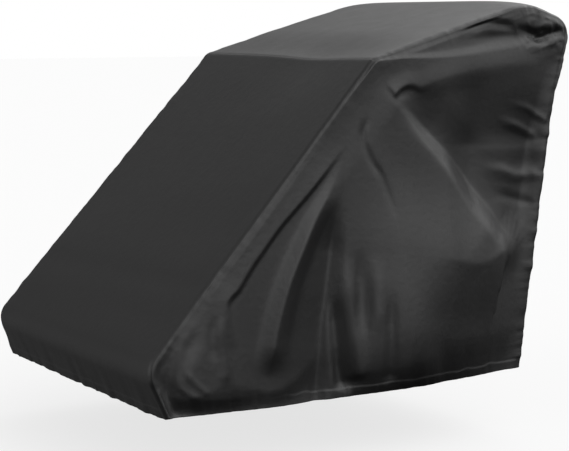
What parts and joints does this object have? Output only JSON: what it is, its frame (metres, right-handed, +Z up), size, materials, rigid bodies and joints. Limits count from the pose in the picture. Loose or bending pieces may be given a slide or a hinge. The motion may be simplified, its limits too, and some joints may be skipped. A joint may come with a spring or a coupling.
{
  "type": "bike trailer cover",
  "caption": "Fitted cloth cover for a two-wheeled bike trailer: long sloping front, raised rear top, draped sides and a gathered hem, hollow and open below.",
  "frame": {"origin": "underside of the top panel on the centre plane, where the trailer's frame holds the cover up", "axes": "+X to the trailer's left, +Y to its rear, +Z up"},
  "size_m": [1.0534, 1.3013, 0.9799],
  "materials": {
    "cloth": "black coated polyester cloth, plain weave, slight satin sheen"
  },
  "bodies": {
    "root": {"front_panel": "cloth", "top_panel": "cloth", "left_side_panel": "cloth", "right_side_panel": "cloth", "rear_panel": "cloth"}
  },
  "joints": []
}
